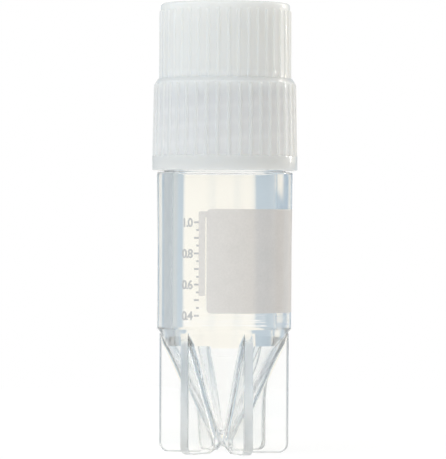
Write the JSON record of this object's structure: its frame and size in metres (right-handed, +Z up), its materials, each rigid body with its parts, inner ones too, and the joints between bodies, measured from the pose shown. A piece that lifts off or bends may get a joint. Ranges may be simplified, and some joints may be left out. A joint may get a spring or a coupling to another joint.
{
  "type": "cryovial",
  "caption": "Slim screw-cap storage vial with a ribbed stepped cap, clear tube, conical bottom and a finned star foot to stand on.",
  "frame": {"origin": "on the vial's axis in the plane that the star foot stands on", "axes": "+Z up along the vial's axis; +X along one fin of the star foot"},
  "size_m": [0.0134, 0.0134, 0.0411],
  "materials": {
    "clear_plastic": "clear natural polypropylene, polished",
    "white_plastic": "translucent white polypropylene, satin",
    "silicone": "translucent silicone, matt"
  },
  "bodies": {
    "vial": {"vial": "clear_plastic"},
    "seal": {"sealing_gasket": "silicone"},
    "cap": {"screw_cap": "white_plastic"}
  },
  "joints": [
    {"name": "cap_lift", "type": "slide", "parent": "vial", "child": "seal", "axis": [0, 0, 1], "range_m": [0, 0.012]},
    {"name": "cap_turn", "type": "hinge", "parent": "seal", "child": "cap", "pos_m": [0, 0, 0.0334], "axis": [0, 0, 1], "range_deg": [0, 1440]}
  ],
  "couplings": [
    {"joint": "cap_lift", "follows": "cap_turn", "m_per_rad": 0.00047746}
  ]
}
